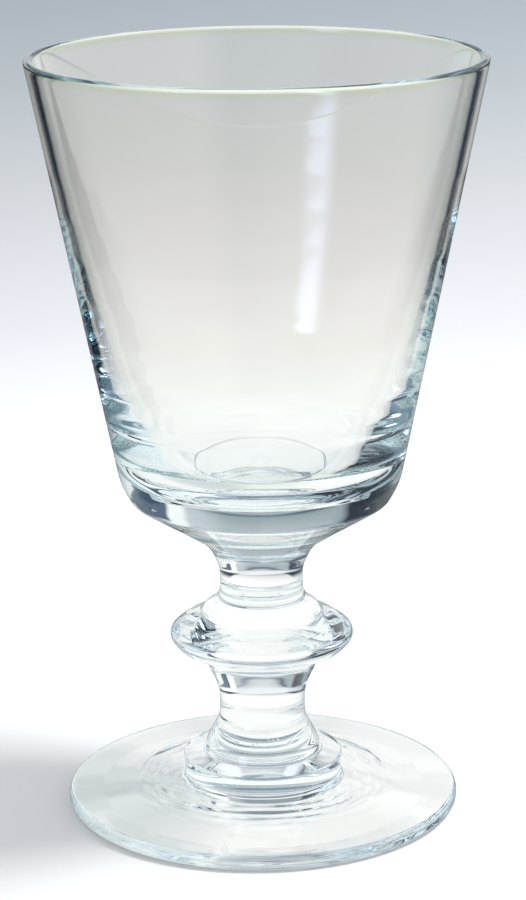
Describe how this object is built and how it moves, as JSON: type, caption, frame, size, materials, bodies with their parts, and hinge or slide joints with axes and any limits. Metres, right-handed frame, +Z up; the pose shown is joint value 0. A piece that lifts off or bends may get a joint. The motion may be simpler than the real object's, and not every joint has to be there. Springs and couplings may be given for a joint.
{
  "type": "water goblet",
  "caption": "Clear glass water goblet with a flaring bucket bowl on a short stem with a ring knop, a bell and a collar above a round foot.",
  "frame": {"origin": "centre of the foot's underside, on the surface that the goblet stands on", "axes": "+Z up along the goblet's axis, towards the rim; X and Y alike, because it is round"},
  "size_m": [0.0942, 0.0942, 0.16],
  "materials": {
    "bowl_glass": "clear blown glass, fire-polished rim",
    "upper_stem_glass": "clear solid glass, hand tooled",
    "ring_knop_glass": "clear solid glass, hand tooled",
    "lower_stem_glass": "clear solid glass, hand tooled",
    "foot_collar_glass": "clear solid glass, hand tooled",
    "foot_glass": "clear pressed disc of glass with a faint grey-green edge"
  },
  "bodies": {
    "root": {"bowl": "bowl_glass", "upper_stem": "upper_stem_glass", "ring_knop": "ring_knop_glass", "lower_stem": "lower_stem_glass", "foot_collar": "foot_collar_glass", "foot": "foot_glass"}
  },
  "joints": []
}
